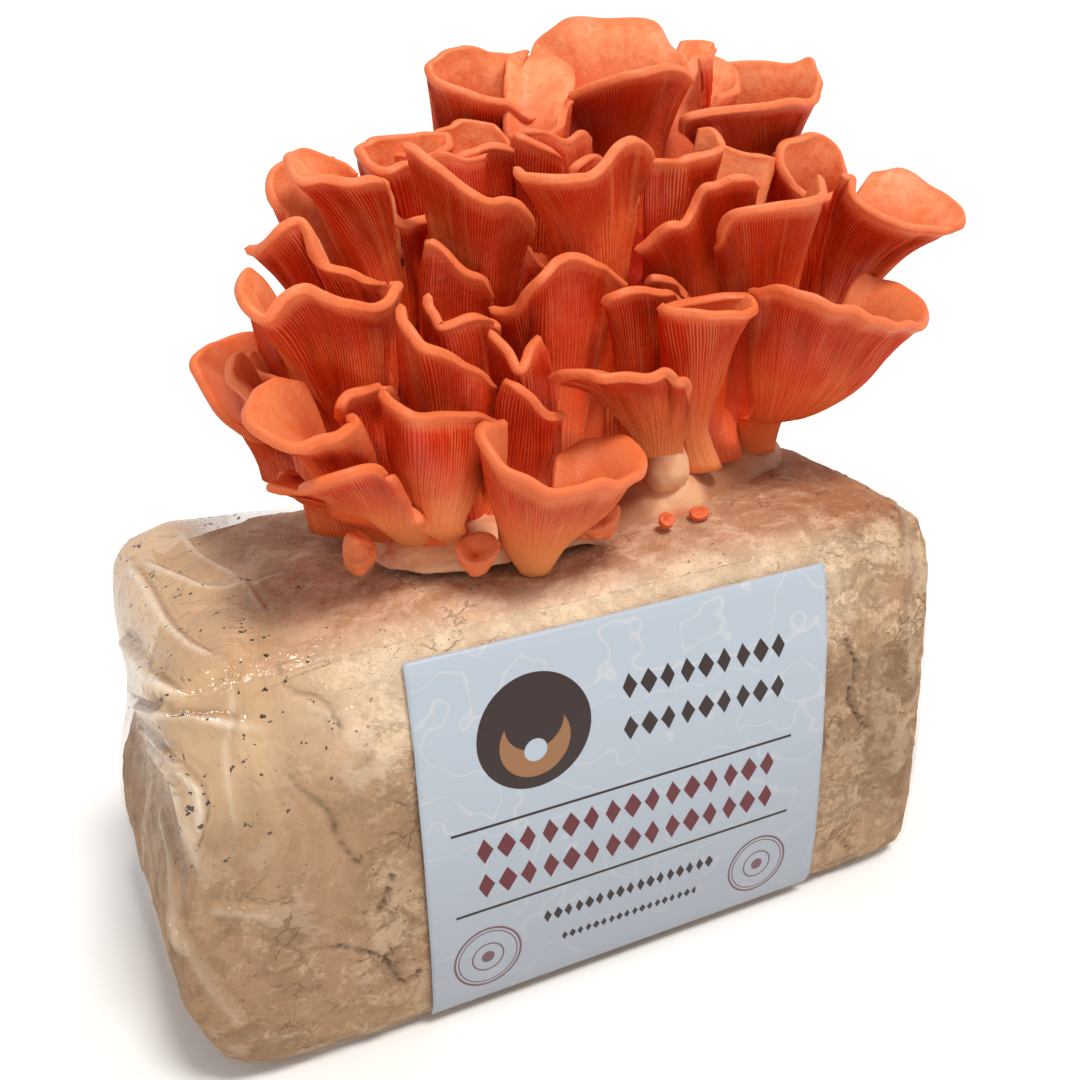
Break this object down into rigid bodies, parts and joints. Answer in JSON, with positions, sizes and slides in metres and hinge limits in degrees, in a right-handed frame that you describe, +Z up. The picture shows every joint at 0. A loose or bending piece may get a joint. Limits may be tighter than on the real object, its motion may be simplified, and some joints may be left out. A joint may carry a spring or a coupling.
{
  "type": "mushroom grow kit",
  "caption": "Block-shaped film bag of grown-through sawdust with a label on its front and a dense bunch of frilled oyster mushrooms growing from a slit in its top.",
  "frame": {"origin": "middle of the bag's flat underside", "axes": "+X along the block to the label's right, the label faces -Y, +Z up out of the slit"},
  "size_m": [0.272, 0.1453, 0.2645],
  "materials": {
    "clear_film": "hazy clear film, glossy and creased",
    "label_paper": "smooth pale blue paper with dark print",
    "grown_sawdust": "matt, cream and brown, mottled",
    "knot_flesh": "soft matt flesh",
    "mushroom_flesh": "soft matt flesh, gilled on the outside"
  },
  "bodies": {
    "root": {"bag": "clear_film", "label": "label_paper", "substrate_block": "grown_sawdust", "cluster_base": "knot_flesh", "bud_01": "mushroom_flesh", "bud_02": "mushroom_flesh", "bud_03": "mushroom_flesh", "bud_04": "mushroom_flesh", "bud_05": "mushroom_flesh", "mushroom_01": "mushroom_flesh", "mushroom_02": "mushroom_flesh", "mushroom_03": "mushroom_flesh", "mushroom_04": "mushroom_flesh", "mushroom_05": "mushroom_flesh", "mushroom_06": "mushroom_flesh", "mushroom_07": "mushroom_flesh", "mushroom_08": "mushroom_flesh", "mushroom_09": "mushroom_flesh", "mushroom_10": "mushroom_flesh", "mushroom_11": "mushroom_flesh", "mushroom_12": "mushroom_flesh", "mushroom_13": "mushroom_flesh", "mushroom_14": "mushroom_flesh", "mushroom_15": "mushroom_flesh", "mushroom_16": "mushroom_flesh", "mushroom_17": "mushroom_flesh", "mushroom_18": "mushroom_flesh", "mushroom_19": "mushroom_flesh", "mushroom_20": "mushroom_flesh", "mushroom_21": "mushroom_flesh", "mushroom_22": "mushroom_flesh", "mushroom_23": "mushroom_flesh", "mushroom_24": "mushroom_flesh", "mushroom_25": "mushroom_flesh", "mushroom_26": "mushroom_flesh", "mushroom_27": "mushroom_flesh", "mushroom_28": "mushroom_flesh", "mushroom_29": "mushroom_flesh", "mushroom_30": "mushroom_flesh", "mushroom_31": "mushroom_flesh", "mushroom_32": "mushroom_flesh", "mushroom_33": "mushroom_flesh", "mushroom_34": "mushroom_flesh", "mushroom_35": "mushroom_flesh", "mushroom_36": "mushroom_flesh", "mushroom_37": "mushroom_flesh", "mushroom_38": "mushroom_flesh", "mushroom_39": "mushroom_flesh", "mushroom_40": "mushroom_flesh", "mushroom_41": "mushroom_flesh", "mushroom_42": "mushroom_flesh", "mushroom_43": "mushroom_flesh", "mushroom_44": "mushroom_flesh", "mushroom_45": "mushroom_flesh", "mushroom_46": "mushroom_flesh"}
  },
  "joints": []
}
